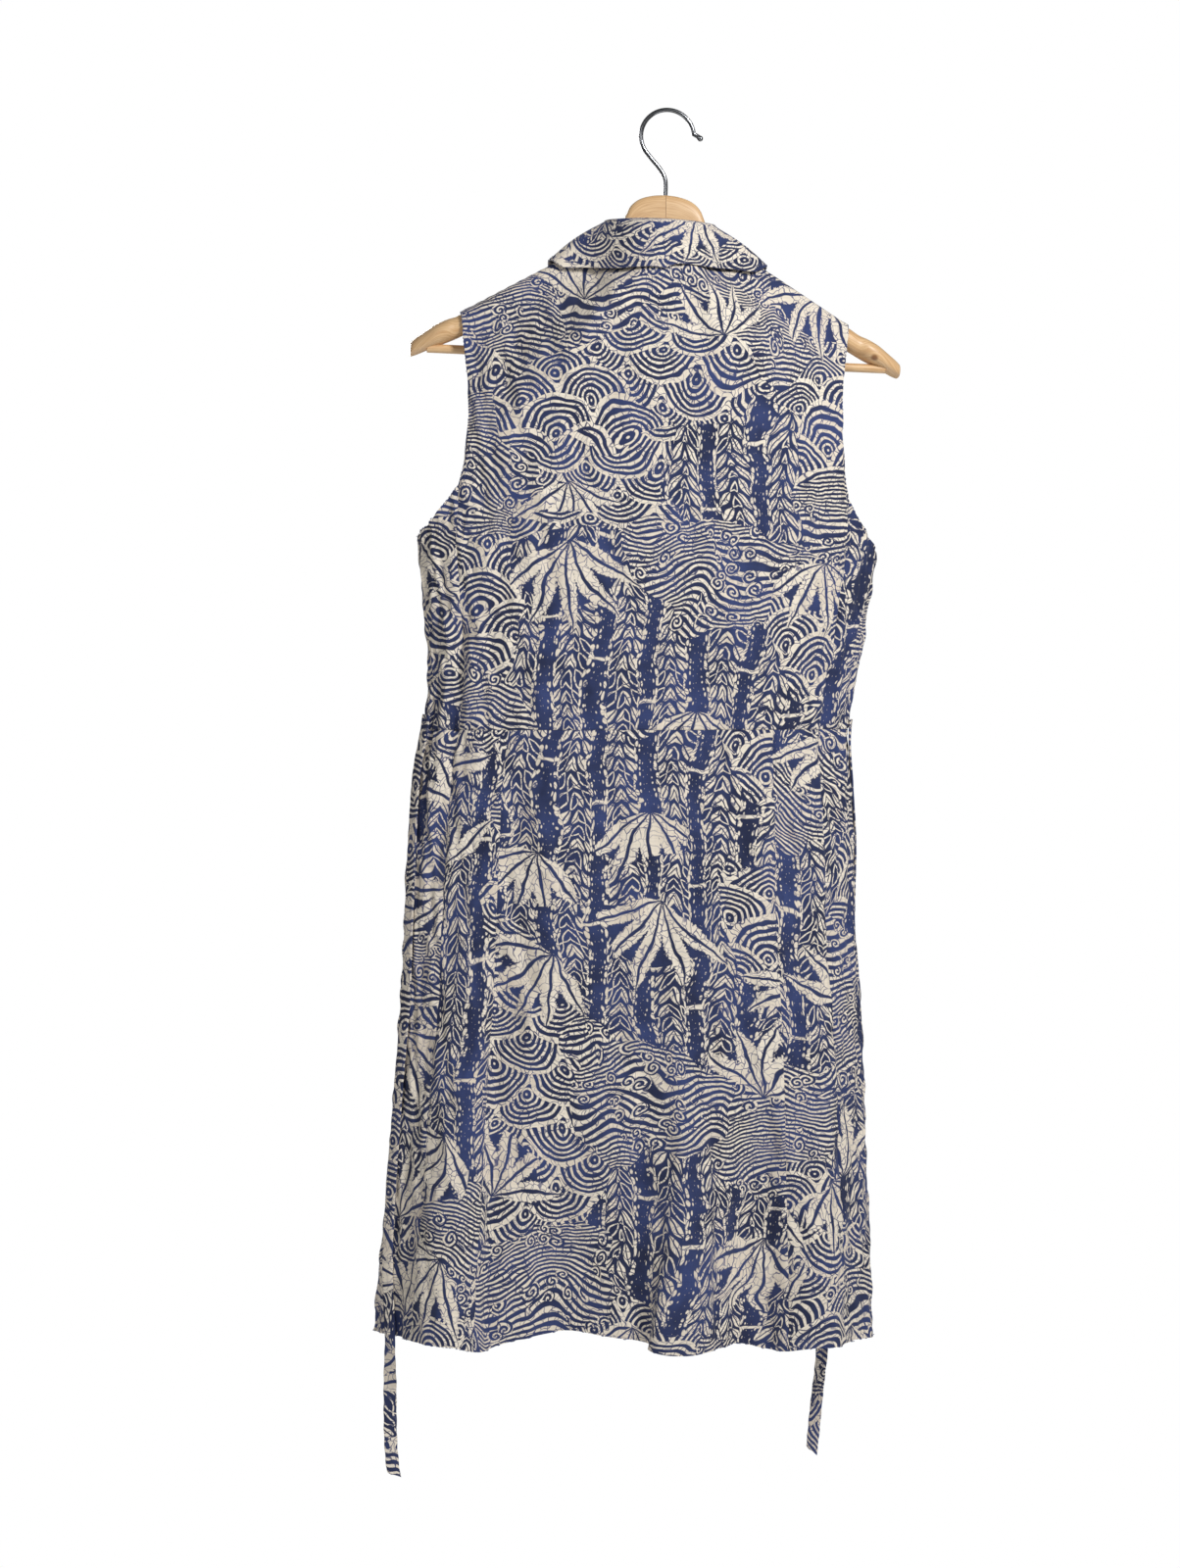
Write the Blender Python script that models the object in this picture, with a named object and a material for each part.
"""Sleeveless shirt dress on a contoured wooden hanger, hung from its hook.

The frame is in metres with +Z up. The origin is the inner top of the hook, where a rail carries it.
The back of the dress faces -Y, its front with the buttons faces +Y, and the wearer's left is at -X.

Sizes below are millimetres and degrees. A place on the cloth is an angle round the dress and a
distance: angle 0 is the centre back, +90 the side at +X and 180 the centre front. "down" is the
distance below the rail, and "hang" is the distance along the cloth from the shoulder ridge.
"""

import math
from collections import namedtuple

import bpy
import numpy as np
from mathutils import Vector

MM = 0.001
CLOTH = 1.6
SEAM = 0.3
ROUNDNESS = 2.4

# Dress as it hangs: where it sits on the hanger, its seams and its edges
DRESS_CENTRE = -4.0
CHEST_HALF = 207.0
SIDE_SEAM_ANGLE = 55.0
GORE_SEAM_ANGLE = 34.0
WAIST_DOWN = 555.5
WAIST_SLOPE = 0.033
HEM_DOWN = 1096.0
SIDE_SEAM_TOP = 344.0
NECK_HALF = 66.0
NECK_DROP_BACK = 12.5
NECK_DROP_FRONT = 49.5

# Shoulder ridge, the line of the hanger's arms that the cloth hangs over
RIDGE_DOWN = 122.0
RIDGE_FROM = 66.0
RIDGE_SLOPE = 0.572
RIDGE_ROUNDING = 10.0
ARM_CLEARANCE = 2.45
# Cloth takes this long to reach its full depth, at the neck and from there out to the shoulder
DRAPE_AT_NECK = 45.0
DRAPE_AT_SHOULDER = 125.0
DRAPE_FROM = 20.0
DRAPE_TO = 150.0
# Flutes go on growing past the hem to this distance, where they would be this share too deep
FLUTE_REACH = 90.0
FLUTE_GAIN = 1.12

# Front opening, where the right front laps over the left
LAP_ANGLE = 2.3
LAP_LIFT = 2.2
LAP_RISE_FROM = 170.5
LAP_RISE_TO = 176.8

# Collar
FOLD_HALF = 49.0
FOLD_DOWN = 103.0
FOLD_FRONT_DROP = 43.0
FOLD_BACK_DEPTH = 41.0
FOLD_FRONT_DEPTH = 54.0
COLLAR_END_THETA = 172.0
STAND_GAP = 0.4
FALL_CLEARANCE = 0.5
FALL_BULGE = 2.5
FALL_BULGE_RISE = 0.6
# The angle round the neck at which a front ends, half a lap past the centre
LAP_THETA = 192.2

# Rows of points: where the bodice turns over the hanger, from there to the armhole's narrowest
# point, on to the waist, and on the other pieces
TURN_ROWS = 4
EDGE_ROWS = 3
HANG_ROWS = 6
SKIRT_ROWS = 13
STAND_ROWS = 3
FALL_ROWS = 4
TIE_LAID_ROWS = 18
TIE_FREE_ROWS = 5
# A column that starts below the ridge has its close rows over this share of a quarter turn
TURN_SHARE = 0.6
# Columns of points on a shoulder, on the gores and on a front of the skirt
SHOULDER_COLUMNS = 6
SIDE_GORE_COLUMNS = 5
MIDDLE_GORE_COLUMNS = 19
FRONT_SKIRT_COLUMNS = 23

# Buttons, ties and hanger
BUTTON_RADIUS = 5.8
BUTTON_HEIGHT = 2.4
BUTTON_SIDES = 12
BUTTON_GAP = 0.5
BUTTON_DOWNS = (205.0, 290.0, 375.0, 460.0, 538.0, 640.0, 725.0, 810.0, 895.0)
TIE_WIDTH = 11.5
TIE_THICKNESS = 2.4
WIRE_RADIUS = 2.0
WIRE_SIDES = 8
HOOK_RADIUS = 24.0
# The crook's first and last place, in degrees up from its open side
CROOK_FROM = 8.0
CROOK_TO = 216.0
CROOK_STEPS = 22
HOOK_SHAFT_END = 104.0
HOOK_HOLE_TOP = 60.0
HOOK_HOLE_END = 106.0
HOLE_CLEARANCE = 0.4
HOLE_SIDES = 16
BAR_RADIUS = 4.0
BAR_SIDES = 12
BAR_DOWN = 221.0
BAR_FORWARD = 14.0
BAR_HALF = 208.7
SOCKET_END = 209.0
ARM_SIDES = 14
ARM_NECK_BOXINESS = 0.7
ARM_JOINT_HALF = 0.15
ARM_FORWARD = 26.0
ARM_BEND_FROM = 60.0
ARM_END = 222.5

Section = namedtuple("Section", "down left right back front")
# Outline of the dress from the back, and its depth behind and before the hanger's plane
SECTIONS = (
    Section(395, 211.0, 203.0, 50, 52),
    Section(435, 206.5, 197.5, 50, 52),
    Section(475, 202.0, 193.5, 48, 51),
    Section(515, 198.5, 187.0, 45, 49),
    Section(556, 200.5, 183.0, 43, 47),
    Section(600, 207.0, 186.5, 45, 49),
    Section(650, 209.5, 191.5, 48, 51),
    Section(715, 211.0, 194.5, 51, 54),
    Section(800, 212.5, 203.0, 55, 57),
    Section(865, 215.5, 208.5, 58, 60),
    Section(955, 218.5, 213.5, 61, 63),
    Section(1030, 222.0, 218.0, 64, 66),
    Section(1096, 224.0, 221.0, 66, 68),
)

Flute = namedtuple("Flute", "angle before after depth start")
# Soft flutes of the skirt: middle, spread on each side in degrees, depth at the hem, top
FLUTES = (
    Flute(-118, 13, 13, 15, 640),
    Flute(-98, 10, 9, -11, 700),
    Flute(-76, 10, 11, 7, 760),
    Flute(-44, 14, 13, 34, 660),
    Flute(-14, 15, 11, -17, 700),
    Flute(11, 5, 9, 17, 760),
    Flute(23, 7, 8, -16, 740),
    Flute(45, 13, 12, 25, 670),
    Flute(75, 12, 10, 6, 760),
    Flute(98, 10, 10, -10, 700),
    Flute(119, 12, 12, 16, 650),
    Flute(142, 10, 9, -12, 720),
    Flute(160, 10, 9, 12, 700),
    Flute(-142, 9, 10, -12, 700),
    Flute(-160, 9, 10, 13, 680),
)

EdgePoint = namedtuple("EdgePoint", "angle down")
EdgeStep = namedtuple("EdgeStep", "hang angle")
Place = namedtuple("Place", "angle hang")
# Armhole edge from the shoulder end to the side seam, on the back panel and on the front
ARMHOLE_BACK = (
    EdgePoint(55.7, None),
    EdgePoint(54.0, 210),
    EdgePoint(52.1, 240),
    EdgePoint(51.3, 285),
    EdgePoint(52.7, 322),
    EdgePoint(SIDE_SEAM_ANGLE, SIDE_SEAM_TOP),
)
ARMHOLE_FRONT = (
    EdgePoint(124.3, None),
    EdgePoint(128.5, 212),
    EdgePoint(131.0, 250),
    EdgePoint(131.5, 292),
    EdgePoint(128.5, 333),
    EdgePoint(124.5, 351),
    EdgePoint(119.0, 367),
    EdgePoint(112.0, 378),
    EdgePoint(104.0, 386),
    EdgePoint(95.0, 390),
    EdgePoint(86.0, 389),
    EdgePoint(78.0, 384),
    EdgePoint(70.0, 375),
    EdgePoint(62.0, 361),
    EdgePoint(SIDE_SEAM_ANGLE, SIDE_SEAM_TOP),
)

CollarEdge = namedtuple("CollarEdge", "theta across hang out")
# Outer edge of the collar's fall, and how far its face stands off the bodice. Here hang is
# the distance from the shoulder ridge, negative on the back.
COLLAR_EDGE = (
    CollarEdge(0, 0.0, -62.5, 3.4),
    CollarEdge(32, 34.0, -48.5, 3.8),
    CollarEdge(62, 68.0, -27.5, 5.4),
    CollarEdge(80, 91.0, -11.5, 4.8),
    CollarEdge(90, 97.0, 0.0, 4.0),
    CollarEdge(100, 97.0, 11.5, 4.0),
    CollarEdge(110, 94.0, 26.0, 4.0),
    CollarEdge(120, 89.0, 47.0, 4.0),
    CollarEdge(142, 71.0, 77.5, 4.6),
    CollarEdge(160, 52.0, 101.0, 5.6),
    CollarEdge(COLLAR_END_THETA, 38.0, 116.0, 6.2),
)
# Angles round the neck at which its seam and its stand have points, and the fall its ribs
NECK_THETAS_BACK = (15, 30, 45, 60, 75)
NECK_THETAS_FRONT = (183, 174, 163, 150, 135, 120, 105)
FALL_THETAS = (16, 32, 47, 62, 72, 80, 85, 90, 95, 100, 108, 120, 131, 142, 151, 160, 166)

ArmSection = namedtuple("ArmSection", "x top bottom half")
# Hanger's arm from the centre joint to its broad tip: heights below the rail, half thickness
ARM_NECK = (
    ArmSection(ARM_JOINT_HALF, 75.0, 128.0, 8.0),
    ArmSection(12, 76.2, 128.2, 8.0),
    ArmSection(24, 80.2, 129.0, 8.0),
    ArmSection(32, 87.5, 131.0, 8.0),
    ArmSection(37, 98.5, 134.0, 7.6),
    ArmSection(50, 116.0, 142.0, 7.2),
    ArmSection(58, 121.4, 146.0, 7.0),
)
ARM_SHOULDER = (
    ArmSection(66, None, 150.0, 7.0),
    ArmSection(85, None, 160.5, 7.0),
    ArmSection(105, None, 171.5, 7.1),
    ArmSection(125, None, 182.0, 7.6),
    ArmSection(145, None, 192.0, 8.9),
    ArmSection(162, None, 201.0, 10.6),
    ArmSection(175, None, 207.5, 11.8),
    ArmSection(184, None, 212.0, 12.6),
)
ARM_TIP = (
    ArmSection(192, 194.5, 215.5, 15.8),
    ArmSection(202, 199.5, 219.5, 17.5),
    ArmSection(212, 207.5, 225.0, 16.4),
    ArmSection(219, 217.0, 229.5, 12.4),
    ArmSection(ARM_END, 226.5, 231.5, 6.0),
)

TiePoint = namedtuple("TiePoint", "down angle out")
# Route of each tie over the skirt, from the waist to the hem
TIE_LEFT = (
    TiePoint(549, -80, 1.0),
    TiePoint(600, -79, 1.3),
    TiePoint(700, -77, 1.6),
    TiePoint(820, -75, 1.8),
    TiePoint(960, -74, 2.0),
    TiePoint(1040, -71, 2.4),
    TiePoint(1096, -66, 3.0),
)
TIE_RIGHT = (
    TiePoint(541, 84, 1.0),
    TiePoint(600, 90, 1.3),
    TiePoint(700, 98, 1.8),
    TiePoint(820, 107, 2.0),
    TiePoint(960, 115, 2.2),
    TiePoint(1040, 121, 2.6),
    TiePoint(1096, 125, 3.0),
)
TIE_END_DOWN = 1222.0
TIE_END_SLANT = 7.0
TIE_TUCK = 6.0

Ring = namedtuple("Ring", "radius height")
# A button's profile from its back to the floor of its dished face
BUTTON_RINGS = (
    Ring(BUTTON_RADIUS - 0.8, 0.0),
    Ring(BUTTON_RADIUS, 0.9),
    Ring(BUTTON_RADIUS - 0.2, BUTTON_HEIGHT - 0.4),
    Ring(BUTTON_RADIUS - 1.0, BUTTON_HEIGHT),
    Ring(BUTTON_RADIUS - 2.0, BUTTON_HEIGHT - 0.6),
)

WirePoint = namedtuple("WirePoint", "x z radius")
# The hook's wire either side of its round crook: the ball end, then the bend into the shaft
HOOK_END = (
    WirePoint(31.6, -23.6, 1.2),
    WirePoint(30.6, -22.9, 2.6),
    WirePoint(29.2, -21.9, 2.6),
    WirePoint(27.4, -20.4, WIRE_RADIUS),
)
HOOK_SHAFT = (
    WirePoint(-13.6, -42.8, WIRE_RADIUS),
    WirePoint(-6.8, -50.2, WIRE_RADIUS),
    WirePoint(-2.4, -56.6, WIRE_RADIUS),
    WirePoint(-0.5, -62.0, WIRE_RADIUS),
    WirePoint(0.0, -68.0, WIRE_RADIUS),
    WirePoint(0.0, -HOOK_SHAFT_END, WIRE_RADIUS),
)

Paint = namedtuple("Paint", "colour roughness metallic")
PAINTS = {
    "indigo print cotton": Paint((0.105, 0.125, 0.235), 0.82, 0.0),
    "light print cotton": Paint((0.17, 0.18, 0.27), 0.82, 0.0),
    "pine wood": Paint((0.70, 0.48, 0.27), 0.45, 0.0),
    "chrome wire": Paint((0.78, 0.79, 0.80), 0.12, 1.0),
    "navy button": Paint((0.035, 0.045, 0.10), 0.28, 0.0),
}


def eased(t):
    """A smooth step from 0 to 1."""
    t = min(max(t, 0.0), 1.0)
    return t * t * (3 - 2 * t)


def mix(a, b, t):
    return a + (b - a) * t


def read_curve(rows, key, column, at):
    """A column's value at a place along another column, by a smooth curve through the rows."""
    xs = [getattr(row, key) for row in rows]
    ys = [getattr(row, column) for row in rows]
    if at <= xs[0]:
        return ys[0]
    if at >= xs[-1]:
        return ys[-1]
    i = max(k for k, x in enumerate(xs) if x <= at)
    span = xs[i + 1] - xs[i]
    rise = ys[i + 1] - ys[i]
    slope_in = (ys[i + 1] - ys[i - 1]) / (xs[i + 1] - xs[i - 1]) if i else rise / span
    last = i + 2 >= len(xs)
    slope_out = rise / span if last else (ys[i + 2] - ys[i]) / (xs[i + 2] - xs[i])
    t = (at - xs[i]) / span
    return (
        ys[i]
        + span * slope_in * t * (1 - t) ** 2
        + rise * t * t * (3 - 2 * t)
        - span * slope_out * t * t * (1 - t)
    )


def across_share(angle):
    """Sideways place at an angle round the dress, as a share of its half width."""
    s = math.sin(math.radians(angle))
    return math.copysign(abs(s) ** (2 / ROUNDNESS), s)


def depth_share(angle):
    """Depth at an angle, as a share of the section's depth, negative at the back."""
    c = math.cos(math.radians(angle))
    return -math.copysign(abs(c) ** (2 / ROUNDNESS), c)


def angle_across(across, front):
    """Angle whose place is this far from the centre of the chest."""
    share = min(abs(across) / CHEST_HALF, 1.0)
    angle = math.degrees(math.asin(share ** (ROUNDNESS / 2)))
    return math.copysign(180 - angle if front else angle, across)


def ridge_down(x):
    """Distance of the shoulder ridge below the rail."""
    level = math.hypot(x, RIDGE_ROUNDING) - math.hypot(RIDGE_FROM, RIDGE_ROUNDING)
    return RIDGE_DOWN + RIDGE_SLOPE * level


def arm_forward(x):
    """How far the hanger's arm has bent to the front at this distance from its centre."""
    bent = max(abs(x) - ARM_BEND_FROM, 0.0) / (ARM_END - ARM_BEND_FROM)
    return ARM_FORWARD * bent * bent


def arm_half(x):
    rows = ARM_NECK + ARM_SHOULDER + ARM_TIP
    return read_curve(rows, "x", "half", abs(x))


def drape_length(x):
    """Distance down the cloth over which it leaves the arm for its full depth."""
    outward = (abs(x) - DRAPE_FROM) / (DRAPE_TO - DRAPE_FROM)
    return mix(DRAPE_AT_NECK, DRAPE_AT_SHOULDER, eased(outward))


def half_and_centre(down):
    left = read_curve(SECTIONS, "down", "left", down)
    right = read_curve(SECTIONS, "down", "right", down)
    return (left + right) / 2, (right - left) / 2


def section_depth(down, angle):
    column = "back" if abs(angle) < 90 else "front"
    return read_curve(SECTIONS, "down", column, down)


def bodice_point(angle, hang):
    """Outer face of the bodice at an angle and a distance along the cloth from the ridge."""
    share = across_share(angle)
    top_x = DRESS_CENTRE + CHEST_HALF * share
    roll = arm_half(top_x) + ARM_CLEARANCE
    quarter = roll * math.pi / 2
    side = -1 if abs(angle) < 90 or abs(angle) > 270 else 1
    turned = min(hang / roll, math.pi / 2)
    down = ridge_down(top_x) + roll * (1 - math.cos(turned)) + max(hang - quarter, 0.0)
    half, centre = half_and_centre(down)
    full_depth = section_depth(down, angle) * depth_share(angle)
    ridge_y = arm_forward(top_x)
    y = ridge_y + side * roll * math.sin(turned)
    y += (full_depth - ridge_y - side * roll) * eased((hang - quarter) / drape_length(top_x))
    return Vector((centre + half * share, y, -down))


def hang_at(angle, down):
    """Distance along the cloth from the ridge at which it is this far below the rail."""
    top_x = DRESS_CENTRE + CHEST_HALF * across_share(angle)
    roll = arm_half(top_x) + ARM_CLEARANCE
    fall = down - ridge_down(top_x)
    if fall < roll:
        return roll * math.acos(1 - max(fall, 0.0) / roll)
    return roll * math.pi / 2 + fall - roll


def flute_swell(angle, down):
    """How far the skirt's flutes move it out at this place."""
    swell = 0.0
    for flute in FLUTES:
        away = (angle - flute.angle + 180) % 360 - 180
        spread = flute.before if away < 0 else flute.after
        grown = eased((down - flute.start) / (HEM_DOWN + FLUTE_REACH - flute.start))
        swell += flute.depth * FLUTE_GAIN * grown * math.exp(-((away / spread) ** 2))
    return swell


def skirt_point(angle, down):
    """Outer face of the skirt at an angle and a distance below the rail."""
    half, centre = half_and_centre(down)
    depth = section_depth(down, angle)
    across, along = across_share(angle), depth_share(angle)
    outward = Vector((across / half, along / depth, 0.0)).normalized()
    level = Vector((centre + half * across, depth * along, -down))
    return level + outward * flute_swell(angle, down)


def outward_normal(surface, angle, far):
    """Outward normal of the cloth at a place."""
    step_angle, step_far = 0.6, 1.0
    round_it = surface(angle + step_angle, far) - surface(angle - step_angle, far)
    along_it = surface(angle, far + step_far) - surface(angle, max(far - step_far, 0.0))
    return along_it.cross(round_it).normalized()


def lap_lift(angle):
    """How far the right front stands out where it laps over the left."""
    return LAP_LIFT * eased((angle - LAP_RISE_FROM) / (LAP_RISE_TO - LAP_RISE_FROM))


def seam_shift(surface, angle, far):
    """Degrees that half of a seam's gap takes at a place."""
    speed = (surface(angle + 0.5, far) - surface(angle - 0.5, far)).length
    return SEAM / 2 / speed


def waist_down(angle):
    half, centre = half_and_centre(WAIST_DOWN)
    return WAIST_DOWN - WAIST_SLOPE * (centre + half * across_share(angle))


def link(name, mesh, paint):
    """Adds an object with a mesh, its material and its parent to the scene."""
    obj = bpy.data.objects.new(name, mesh)
    bpy.context.scene.collection.objects.link(obj)
    material = bpy.data.materials.get(paint)
    if material is None:
        material = bpy.data.materials.new(paint)
        material.use_nodes = True
        bsdf = material.node_tree.nodes["Principled BSDF"]
        look = PAINTS[paint]
        bsdf.inputs["Base Color"].default_value = (*look.colour, 1.0)
        bsdf.inputs["Roughness"].default_value = look.roughness
        bsdf.inputs["Metallic"].default_value = look.metallic
    mesh.materials.append(material)
    mesh.shade_smooth()
    mesh.set_sharp_from_angle(angle=math.radians(40))
    obj.parent = bpy.data.objects["rail_point"]
    return obj


def closed_mesh(name, points, faces):
    """A mesh of millimetre points, turned so that its faces look out."""
    places = np.array([tuple(p) for p in points]) * MM
    volume = 0.0
    for face in faces:
        a = places[face[0]]
        for b, c in zip(face[1:-1], face[2:]):
            volume += float(np.dot(a, np.cross(places[b], places[c])))
    if volume < 0:
        faces = [tuple(reversed(face)) for face in faces]
    mesh = bpy.data.meshes.new(name)
    mesh.from_pydata(places.tolist(), [], faces)
    mesh.validate()
    return mesh


def wall(name, outer, normals, paint, thickness=CLOTH):
    """A cloth wall: a grid of outer points, the same grid moved in, and a rim between them.

    A place of the grid that holds None is left out, as beside an armhole.
    """
    number, points, inner = {}, [], []
    for i, (row, row_normals) in enumerate(zip(outer, normals)):
        for j, (point, normal) in enumerate(zip(row, row_normals)):
            if point is not None:
                number[i, j] = len(points)
                points.append(point)
                inner.append(point - normal * thickness)
    faces = []
    for i, j in number:
        corners = [(i, j), (i, j + 1), (i + 1, j + 1), (i + 1, j)]
        if all(corner in number for corner in corners):
            a, b, c, d = (number[corner] for corner in corners)
            faces += [(a, b, c), (a, c, d)]
    count = len(points)
    inside = [(c + count, b + count, a + count) for a, b, c in faces]
    edges = {(face[k - 1], face[k]) for face in faces for k in range(3)}
    rim = []
    for a, b in sorted(edges):
        if (b, a) not in edges:
            rim += [(b, a, a + count), (b, a + count, b + count)]
    return link(name, closed_mesh(name, points + inner, faces + inside + rim), paint)


def cloth_grid(surface, places, lift=None):
    """Outer points and normals of a grid of (angle, distance) places on a surface."""
    outer, normals = [], []
    for row in places:
        faces_out = [place and outward_normal(surface, *place) for place in row]
        outer.append(
            [
                place and surface(*place) + n * (lift(place[0]) if lift else 0.0)
                for place, n in zip(row, faces_out)
            ]
        )
        normals.append(faces_out)
    return outer, normals


def neck_theta_point(theta):
    """Angle and hang of the neck seam at an angle round the neck, 0 at the centre back."""
    s, c = math.sin(math.radians(theta)), math.cos(math.radians(theta))
    front = c < 0
    level = RIDGE_DOWN + RIDGE_SLOPE * DRESS_CENTRE * s
    drop = NECK_DROP_FRONT if front else NECK_DROP_BACK
    angle = angle_across(NECK_HALF * s, front)
    if abs(theta) > 180:
        angle = math.copysign(360 - abs(angle), theta)
    down = level + drop * c * c
    return Place(angle, max(hang_at(angle, down), SEAM / 2))


def shoulder_column(top, reach, bottom):
    """Distances down a column from the neck or the shoulder, close where the cloth turns."""
    roll = arm_half(DRESS_CENTRE + CHEST_HALF * across_share(top.angle)) + ARM_CLEARANCE
    quarter = roll * math.pi / 2
    turned = max(quarter, top.hang + TURN_SHARE * quarter)
    hangs = [mix(top.hang, turned, i / TURN_ROWS) for i in range(TURN_ROWS)]
    hangs += [mix(turned, reach, i / EDGE_ROWS) for i in range(EDGE_ROWS)]
    return hangs + [mix(reach, bottom, i / HANG_ROWS) for i in range(HANG_ROWS + 1)]


def waist_hang(angle):
    return hang_at(angle, waist_down(angle) - SEAM / 2)


def half_columns(thetas, edge, sign, front):
    """Columns of places on half a bodice panel, from its middle to the side seam.

    The first ones start on the neck, the next on the shoulder, and they keep inside the
    armhole as far as its narrowest point. The last ones start on its edge below that point.
    """
    base = angle_across(NECK_HALF, front)
    narrow = min(range(len(edge)), key=lambda k: abs(edge[k].angle - abs(base)))
    steps = [EdgeStep(SEAM / 2, edge[0].angle)]
    for point in edge[1 : narrow + 1]:
        steps.append(EdgeStep(hang_at(sign * point.angle, point.down), point.angle))
    reach = steps[-1].hang
    columns = []
    for theta in thetas:
        top = neck_theta_point(sign * theta)
        hangs = shoulder_column(top, reach, waist_hang(top.angle))
        columns.append([Place(top.angle, hang) for hang in hangs])
    for k in range(SHOULDER_COLUMNS + 1):
        share = k / SHOULDER_COLUMNS
        top = Place(sign * mix(base, edge[0].angle, share), SEAM / 2)
        low = sign * mix(base, edge[narrow].angle, share)
        columns.append(
            [
                Place(sign * mix(base, read_curve(steps, "hang", "angle", hang), share), hang)
                for hang in shoulder_column(top, reach, waist_hang(low))
            ]
        )
    for point in edge[narrow + 1 :]:
        angle = sign * point.angle
        top = hang_at(angle, point.down)
        column = [None] * (TURN_ROWS + EDGE_ROWS)
        for i in range(HANG_ROWS + 1):
            column.append(Place(angle, mix(top, waist_hang(angle), i / HANG_ROWS)))
        columns.append(column)
    inward = sign if front else -sign
    columns[-1] = [
        place and Place(place.angle + inward * seam_shift(bodice_point, *place), place.hang)
        for place in columns[-1]
    ]
    return columns


def build_bodice_back():
    thetas = (0,) + NECK_THETAS_BACK
    left, right = (half_columns(thetas, ARMHOLE_BACK, sign, False) for sign in (-1, 1))
    outer, normals = cloth_grid(bodice_point, zip(*left[:0:-1], *right))
    wall("bodice_back", outer, normals, "indigo print cotton")


def build_bodice_front(name, sign, lift):
    """One front: it laps past the centre line and wraps the side as far as the side seam."""
    thetas = (LAP_THETA,) + NECK_THETAS_FRONT
    columns = half_columns(thetas, ARMHOLE_FRONT, sign, True)
    outer, normals = cloth_grid(bodice_point, zip(*columns), lift)
    wall(name, outer, normals, "light print cotton")


def build_skirt_panel(name, start, end, columns, paint, lift=None, seams=(True, True)):
    """A skirt panel between two angles, from the waist seam to the hem."""
    grid = []
    for i in range(SKIRT_ROWS + 1):
        row = []
        for j in range(columns + 1):
            angle = mix(start, end, j / columns)
            down = mix(waist_down(angle) + SEAM / 2, HEM_DOWN, i / SKIRT_ROWS)
            if (j == 0 and seams[0]) or (j == columns and seams[1]):
                inward = math.copysign(1, end - start) * (1 if j == 0 else -1)
                angle += inward * seam_shift(skirt_point, angle, down)
            row.append((angle, down))
        grid.append(row)
    outer, normals = cloth_grid(skirt_point, grid, lift)
    wall(name, outer, normals, paint)


def neck_surface(theta, up):
    """Outer face of the collar's stand: 0 at the neck seam, 1 at the fold."""
    angle, hang = neck_theta_point(theta)
    s, c = math.sin(math.radians(theta)), math.cos(math.radians(theta))
    seam = bodice_point(angle, hang) + Vector((0, 0, STAND_GAP))
    front = max((abs(theta) - 90) / 90, 0.0)
    depth = FOLD_FRONT_DEPTH if c < 0 else FOLD_BACK_DEPTH
    fold = Vector(
        (
            DRESS_CENTRE + FOLD_HALF * s,
            -depth * c,
            -(FOLD_DOWN + FOLD_FRONT_DROP * min(front, 1.0) ** 1.5),
        )
    )
    return seam.lerp(fold, up)


def neck_normal(theta, up):
    along = neck_surface(theta, min(up + 0.05, 1)) - neck_surface(theta, max(up - 0.05, 0))
    round_it = neck_surface(theta + 1, up) - neck_surface(theta - 1, up)
    return round_it.cross(along).normalized()


def stand_lift(theta):
    """How far the stand's right end stands out, as the front that it is sewn to does."""
    return lap_lift(neck_theta_point(theta)[0])


def build_collar_stand():
    """The band that stands up from the neck seam, its right end lapped over its left."""
    half = (0,) + NECK_THETAS_BACK + (90,) + NECK_THETAS_FRONT[::-1] + (LAP_THETA,)
    thetas = [-theta for theta in half[:0:-1]] + list(half)
    outer, normals = [], []
    for i in range(STAND_ROWS + 1):
        up = i / STAND_ROWS
        row_normals = [neck_normal(theta, up) for theta in thetas]
        lifts = [stand_lift(theta) for theta in thetas]
        outer.append([neck_surface(t, up) + n * k for t, n, k in zip(thetas, row_normals, lifts)])
        normals.append(row_normals)
    wall("collar_stand", outer, normals, "light print cotton")


def fall_surface(theta, drop):
    """Outer face of the collar's fall: 0 at the fold, 1 at its outer edge."""
    size = abs(theta)
    top = neck_surface(theta, 1.0)
    top += neck_normal(theta, 1.0) * (CLOTH + FALL_CLEARANCE + stand_lift(size))
    across = math.copysign(read_curve(COLLAR_EDGE, "theta", "across", size), theta)
    hang = read_curve(COLLAR_EDGE, "theta", "hang", size)
    out = read_curve(COLLAR_EDGE, "theta", "out", size)
    angle = angle_across(across, hang > 0)
    hang = max(abs(hang), 0.5)
    edge = bodice_point(angle, hang) + outward_normal(bodice_point, angle, hang) * out
    bulge = Vector((math.sin(math.radians(theta)), 0, FALL_BULGE_RISE)) * FALL_BULGE
    return top.lerp(edge, drop) + bulge * math.sin(math.pi * drop)


def fall_normal(theta, drop):
    along = fall_surface(theta, min(drop + 0.05, 1)) - fall_surface(theta, max(drop - 0.05, 0))
    round_it = fall_surface(theta + 1, drop) - fall_surface(theta - 1, drop)
    return along.cross(round_it).normalized()


def build_collar_fall():
    """The leaf that folds over the stand and lies on the shoulders."""
    half = (0,) + FALL_THETAS + (COLLAR_END_THETA,)
    thetas = [-theta for theta in half[:0:-1]] + list(half)
    outer, normals = [], []
    for i in range(FALL_ROWS + 1):
        drop = i / FALL_ROWS
        outer.append([fall_surface(theta, drop) for theta in thetas])
        normals.append([fall_normal(theta, drop) for theta in thetas])
    wall("collar_fall", outer, normals, "indigo print cotton")


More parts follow.
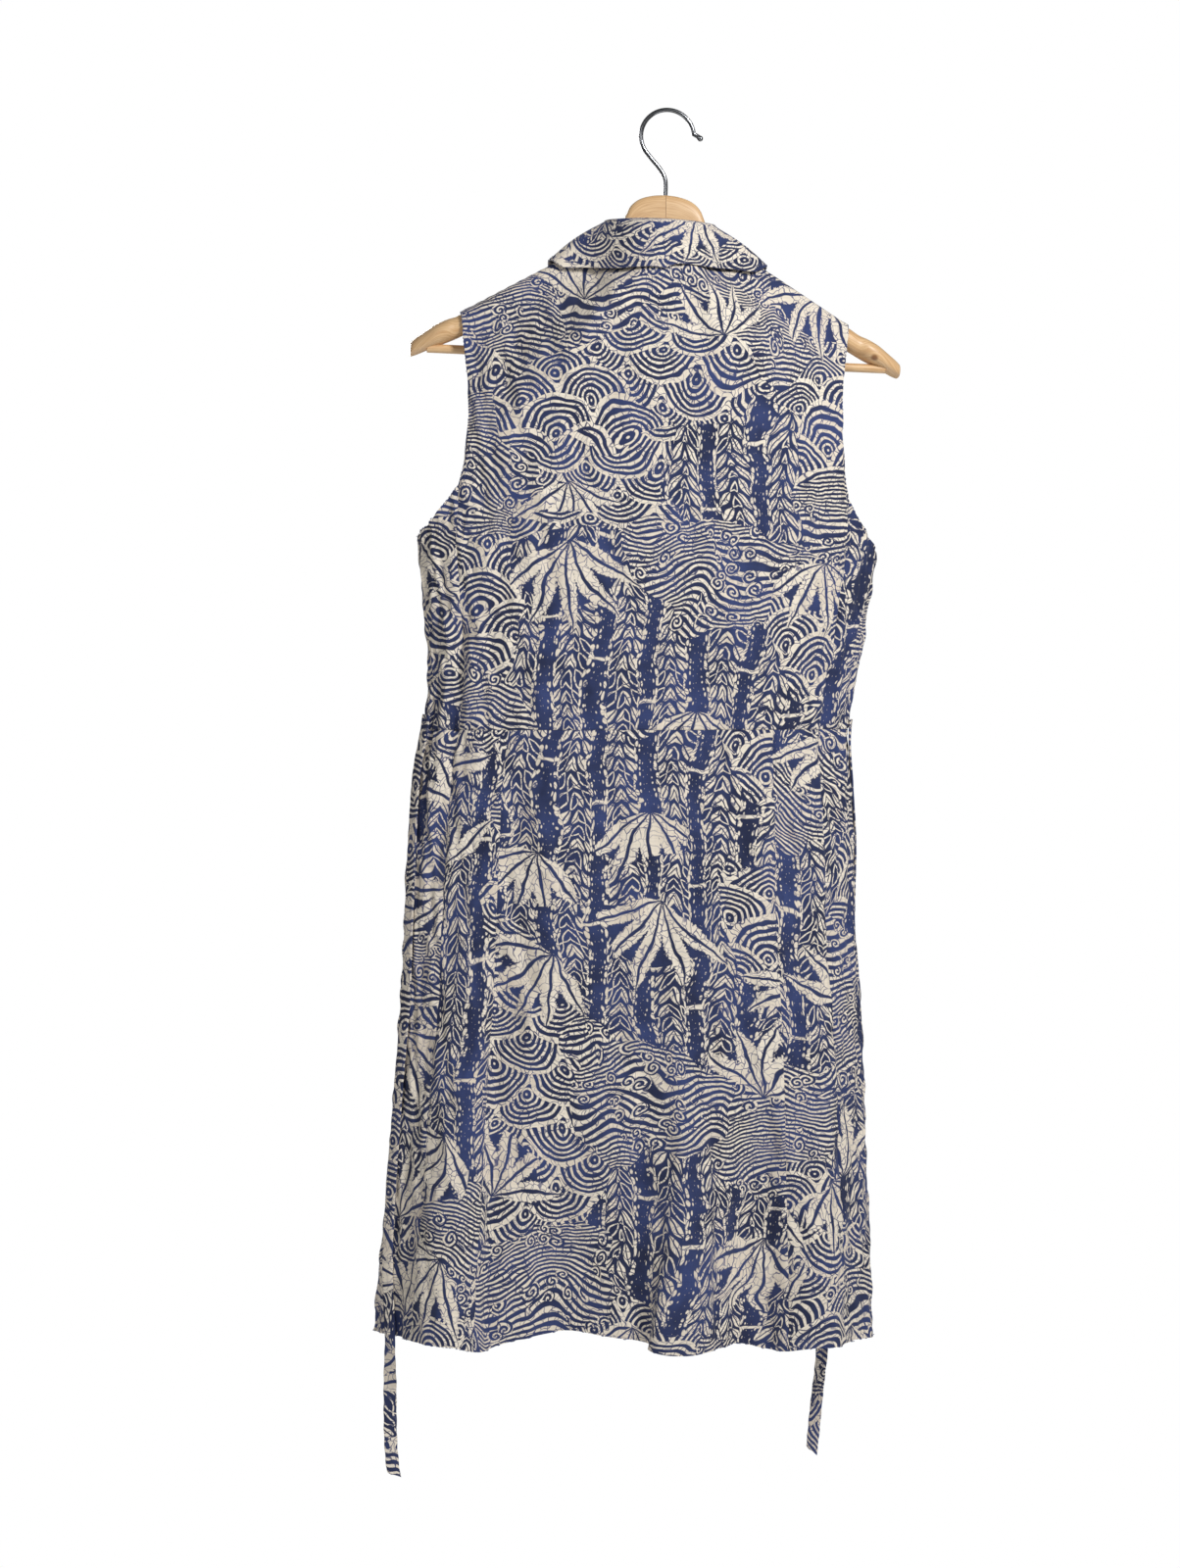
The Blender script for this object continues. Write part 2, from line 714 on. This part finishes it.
def build_tie(name, route, sign):
    """A flat tie sewn in at the waist, lying on the skirt and hanging free below its hem."""
    outer, normals = [], []
    for i in range(TIE_LAID_ROWS + 1):
        down = mix(route[0].down, route[-1].down, i / TIE_LAID_ROWS)
        middle = read_curve(route, "down", "angle", down)
        out = read_curve(route, "down", "out", down) + TIE_THICKNESS
        normal = outward_normal(skirt_point, middle, down)
        tangent = Vector((0, 0, 1)).cross(normal).normalized()
        place = skirt_point(middle, down) + normal * out
        outer.append([place - tangent * TIE_WIDTH / 2, place + tangent * TIE_WIDTH / 2])
        normals.append([normal, normal])
    left, right = outer[-1]
    normal = normals[-1][0]
    for i in range(1, TIE_FREE_ROWS + 1):
        share = i / TIE_FREE_ROWS
        fall = (TIE_END_DOWN + right.z) * share
        slant = TIE_END_SLANT * share**3
        tuck = Vector((-sign * TIE_TUCK * share**2, 0, 0))
        outer.append(
            [
                left - Vector((0, 0, fall - slant * (sign < 0))) + tuck,
                right - Vector((0, 0, fall - slant * (sign > 0))) + tuck,
            ]
        )
        normals.append([normal, normal])
    wall(name, outer, normals, "indigo print cotton", TIE_THICKNESS)


def build_buttons():
    """Round buttons down the right front, and one on the collar's stand."""
    places = []
    for down in BUTTON_DOWNS:
        on_skirt = down > WAIST_DOWN
        surface = skirt_point if on_skirt else bodice_point
        far = down if on_skirt else hang_at(180, down)
        normal = outward_normal(surface, 180.0, far)
        places.append((surface(180.0, far), normal))
    places.insert(0, (neck_surface(180.0, 0.5), neck_normal(180.0, 0.5)))
    for number, (place, normal) in enumerate(places, 1):
        foot = place + normal * (LAP_LIFT + BUTTON_GAP)
        name = f"button_{number}"
        build_turned(name, foot, normal, BUTTON_RINGS, BUTTON_SIDES, "navy button")


def build_turned(name, foot, axis, rings, sides, paint):
    """A solid turned about an axis through its foot, from rings of (radius, height)."""
    across = axis.orthogonal().normalized()
    along = axis.cross(across)
    points = []
    for ring in rings:
        for k in range(sides):
            turn = 2 * math.pi * k / sides
            spoke = across * math.cos(turn) + along * math.sin(turn)
            points.append(foot + axis * ring.height + spoke * ring.radius)
    return link(name, closed_mesh(name, points, skin(len(rings), sides)), paint)


def skin(rings, sides):
    """Faces over rings of points that follow each other in a list, with a cap at each end."""
    faces = []
    for ring in range(rings - 1):
        for k in range(sides):
            a, b = ring * sides + k, ring * sides + (k + 1) % sides
            faces.append((a, b, b + sides, a + sides))
    faces.append(tuple(range(sides - 1, -1, -1)))
    top = (rings - 1) * sides
    faces.append(tuple(range(top, top + sides)))
    return faces


def build_hook():
    """The wire hook: a kicked-out ball end, a round crook and a straight shaft into the wood."""
    middle = WIRE_RADIUS - HOOK_RADIUS
    path = list(HOOK_END)
    for k in range(CROOK_STEPS + 1):
        turn = math.radians(mix(CROOK_FROM, CROOK_TO, k / CROOK_STEPS))
        x, z = HOOK_RADIUS * math.cos(turn), middle + HOOK_RADIUS * math.sin(turn)
        path.append(WirePoint(x, z, WIRE_RADIUS))
    path += HOOK_SHAFT
    points = []
    for i, here in enumerate(path):
        before, after = path[max(i - 1, 0)], path[min(i + 1, len(path) - 1)]
        heading = Vector((after.x - before.x, 0, after.z - before.z)).normalized()
        aside = Vector((heading.z, 0, -heading.x))
        for k in range(WIRE_SIDES):
            turn = 2 * math.pi * (k + 0.5) / WIRE_SIDES
            spoke = aside * math.cos(turn) + Vector((0, 1, 0)) * math.sin(turn)
            points.append(Vector((here.x, 0, here.z)) + spoke * here.radius)
    mesh = closed_mesh("hanger_hook", points, skin(len(path), WIRE_SIDES))
    link("hanger_hook", mesh, "chrome wire")


def arm_sections():
    rows = list(ARM_NECK)
    for row in ARM_SHOULDER:
        rows.append(row._replace(top=ridge_down(row.x) + ARM_CLEARANCE))
    return rows + list(ARM_TIP)


def cutter(name, foot, axis, radius, length):
    """A round cutter for a drilled hole, left out of the part."""
    rings = (Ring(radius, 0.0), Ring(radius, length))
    obj = build_turned(name, Vector(foot), Vector(axis), rings, HOLE_SIDES, "chrome wire")
    obj.hide_render = True
    obj.display_type = "WIRE"
    return obj


def build_arm(name, sign, cutters):
    """Half of the hanger's yoke: rounded sections that bend forward and broaden to the tip."""
    points = []
    sections = arm_sections()
    for section in sections:
        middle = (section.top + section.bottom) / 2
        tall = (section.bottom - section.top) / 2
        forward = arm_forward(section.x)
        for k in range(ARM_SIDES):
            turn = 2 * math.pi * (k + 0.5) / ARM_SIDES
            c, s = math.cos(turn), math.sin(turn)
            boxy = ARM_NECK_BOXINESS if section.x < RIDGE_FROM else 1.0
            y = forward + section.half * math.copysign(abs(c) ** boxy, c)
            z = -middle + tall * math.copysign(abs(s) ** boxy, s)
            points.append(Vector((sign * section.x, y, z)))
    arm = link(name, closed_mesh(name, points, skin(len(sections), ARM_SIDES)), "pine wood")
    for tool in cutters:
        cut = arm.modifiers.new("drilled", "BOOLEAN")
        cut.operation = "DIFFERENCE"
        cut.solver = "EXACT"
        cut.object = tool


def build_hanger():
    """Yoke halves, trouser bar and hook."""
    hook_hole = cutter(
        "hook_hole",
        (0, 0, -HOOK_HOLE_END),
        (0, 0, 1),
        WIRE_RADIUS + HOLE_CLEARANCE,
        HOOK_HOLE_END - HOOK_HOLE_TOP,
    )
    bar_hole = cutter(
        "bar_hole",
        (-SOCKET_END, BAR_FORWARD, -BAR_DOWN),
        (1, 0, 0),
        BAR_RADIUS + HOLE_CLEARANCE,
        2 * SOCKET_END,
    )
    for name, sign in (("hanger_arm_left", -1), ("hanger_arm_right", 1)):
        build_arm(name, sign, (hook_hole, bar_hole))
    rings = (Ring(BAR_RADIUS, 0.0), Ring(BAR_RADIUS, 2 * BAR_HALF))
    foot = Vector((-BAR_HALF, BAR_FORWARD, -BAR_DOWN))
    build_turned("hanger_bar", foot, Vector((1, 0, 0)), rings, BAR_SIDES, "pine wood")
    build_hook()


def build_skirt():
    """Three back gores between the side seams, and two fronts that lap at the centre."""
    side, gore = SIDE_SEAM_ANGLE, GORE_SEAM_ANGLE
    blue, pale = "indigo print cotton", "light print cotton"
    build_skirt_panel("skirt_back_left", -side, -gore, SIDE_GORE_COLUMNS, blue)
    build_skirt_panel("skirt_back_centre", -gore, gore, MIDDLE_GORE_COLUMNS, blue)
    build_skirt_panel("skirt_back_right", gore, side, SIDE_GORE_COLUMNS, blue)
    lapped = 180 + LAP_ANGLE
    seamed = (True, False)
    for name, sign, lift in (("left", -1, None), ("right", 1, lap_lift)):
        start, end = sign * side, sign * lapped
        build_skirt_panel(
            f"skirt_front_{name}", start, end, FRONT_SKIRT_COLUMNS, pale, lift, seamed
        )


def main():
    for obj in list(bpy.data.objects):
        bpy.data.objects.remove(obj, do_unlink=True)
    rail_point = bpy.data.objects.new("rail_point", None)
    bpy.context.scene.collection.objects.link(rail_point)
    build_hanger()
    build_bodice_back()
    build_bodice_front("bodice_front_left", -1, None)
    build_bodice_front("bodice_front_right", 1, lap_lift)
    build_skirt()
    build_collar_stand()
    build_collar_fall()
    build_tie("tie_left", TIE_LEFT, -1)
    build_tie("tie_right", TIE_RIGHT, 1)
    build_buttons()


main()
